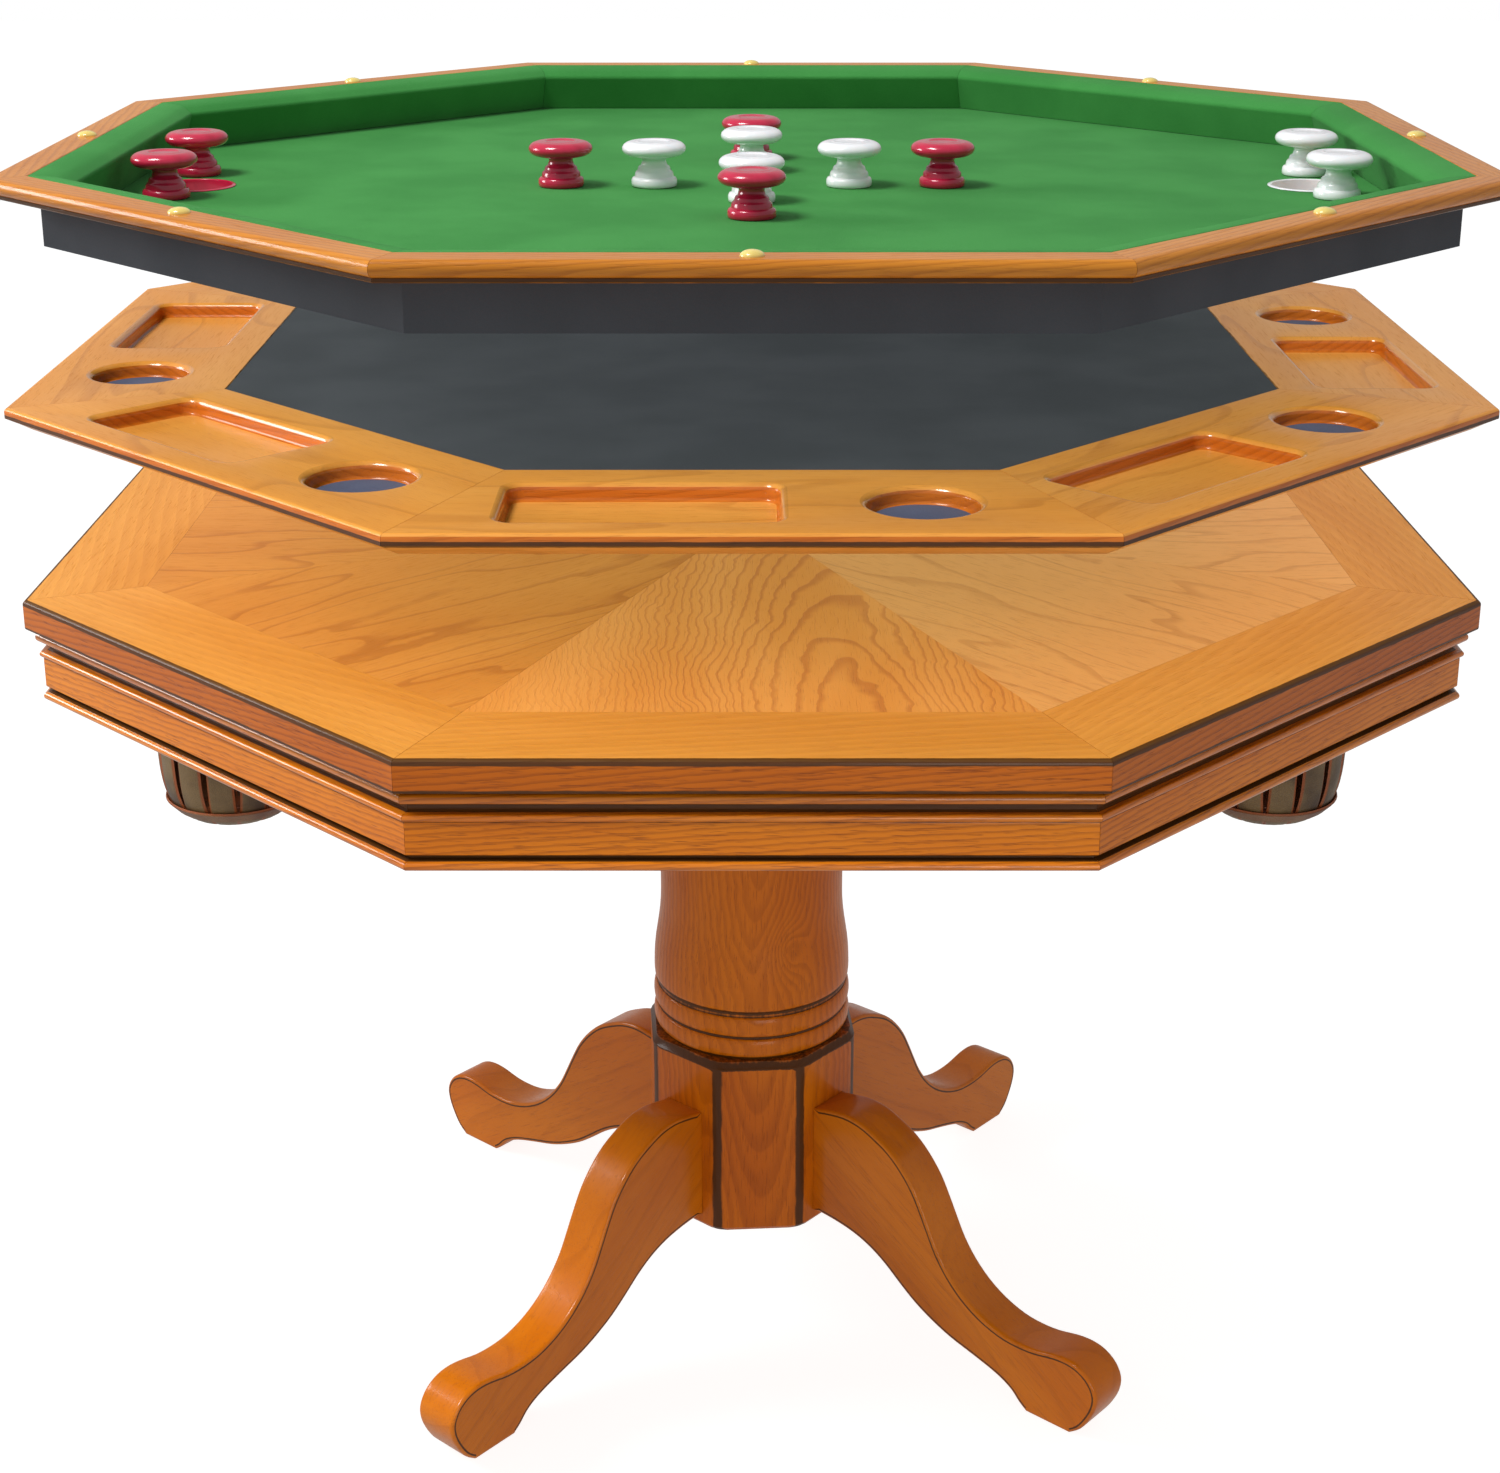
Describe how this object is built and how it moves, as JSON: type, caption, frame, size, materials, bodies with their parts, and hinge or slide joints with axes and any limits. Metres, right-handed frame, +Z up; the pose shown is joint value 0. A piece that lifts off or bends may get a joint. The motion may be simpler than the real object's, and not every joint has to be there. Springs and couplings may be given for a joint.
{
  "type": "gaming table",
  "caption": "Octagonal pedestal games table drawn with its dining, poker and bumper-pool tops lifted apart over the cabinet.",
  "frame": {"origin": "centre of the bounding box on the floor under the feet", "axes": "+Z up; -Y is the front side of the table; +X is to the right seen from the front"},
  "size_m": [1.22, 1.22, 1.152],
  "materials": {
    "oak": "satin honey oak",
    "dark_oak": "plain sealed wood",
    "charcoal_wood": "charcoal paint",
    "slate_cloth": "dark slate cloth",
    "green_cloth": "green billiard cloth",
    "crimson_plastic": "gloss",
    "white_plastic": "gloss",
    "leather": "brown strip leather"
  },
  "bodies": {
    "pedestal_and_cabinet": {"leg_front_right": "oak", "leg_back_right": "oak", "leg_back_left": "oak", "leg_front_left": "oak", "pedestal_block": "oak", "pedestal_column": "oak", "mounting_plate": "dark_oak", "cabinet_floor": "dark_oak", "apron_1": "oak", "apron_2": "oak", "apron_3": "oak", "apron_4": "oak", "apron_5": "oak", "apron_6": "oak", "apron_7": "oak", "apron_8": "oak", "ball_basket_left": "leather", "ball_basket_right": "leather"},
    "dining_top": {"dining_border": "oak", "dining_panel": "oak", "dining_bearer": "dark_oak"},
    "poker_top": {"poker_segment_1": "oak", "poker_segment_2": "oak", "poker_segment_3": "oak", "poker_segment_4": "oak", "poker_segment_5": "oak", "poker_segment_6": "oak", "poker_segment_7": "oak", "poker_segment_8": "oak", "poker_field": "slate_cloth"},
    "bumper_pool_top": {"rail_1": "oak", "rail_2": "oak", "rail_3": "oak", "rail_4": "oak", "rail_5": "oak", "rail_6": "oak", "rail_7": "oak", "rail_8": "oak", "cushion_ring": "green_cloth", "bed_frame": "charcoal_wood", "bumper_bed": "green_cloth", "pocket_liner_left": "crimson_plastic", "pocket_liner_right": "white_plastic", "bumper_red_1": "crimson_plastic", "bumper_red_2": "crimson_plastic", "bumper_red_3": "crimson_plastic", "bumper_red_4": "crimson_plastic", "bumper_white_1": "white_plastic", "bumper_white_2": "white_plastic", "bumper_white_3": "white_plastic", "bumper_white_4": "white_plastic", "bumper_pocket_red_1": "crimson_plastic", "bumper_pocket_red_2": "crimson_plastic", "bumper_pocket_white_1": "white_plastic", "bumper_pocket_white_2": "white_plastic"}
  },
  "joints": [
    {"name": "dining_top_lift", "type": "slide", "parent": "pedestal_and_cabinet", "child": "dining_top", "axis": [0, 0, 1], "range_m": [0, 0.12]},
    {"name": "poker_top_lift", "type": "slide", "parent": "dining_top", "child": "poker_top", "axis": [0, 0, 1], "range_m": [-0.1447, 0]},
    {"name": "bumper_pool_top_lift", "type": "slide", "parent": "poker_top", "child": "bumper_pool_top", "axis": [0, 0, 1], "range_m": [-0.1297, 0]}
  ]
}
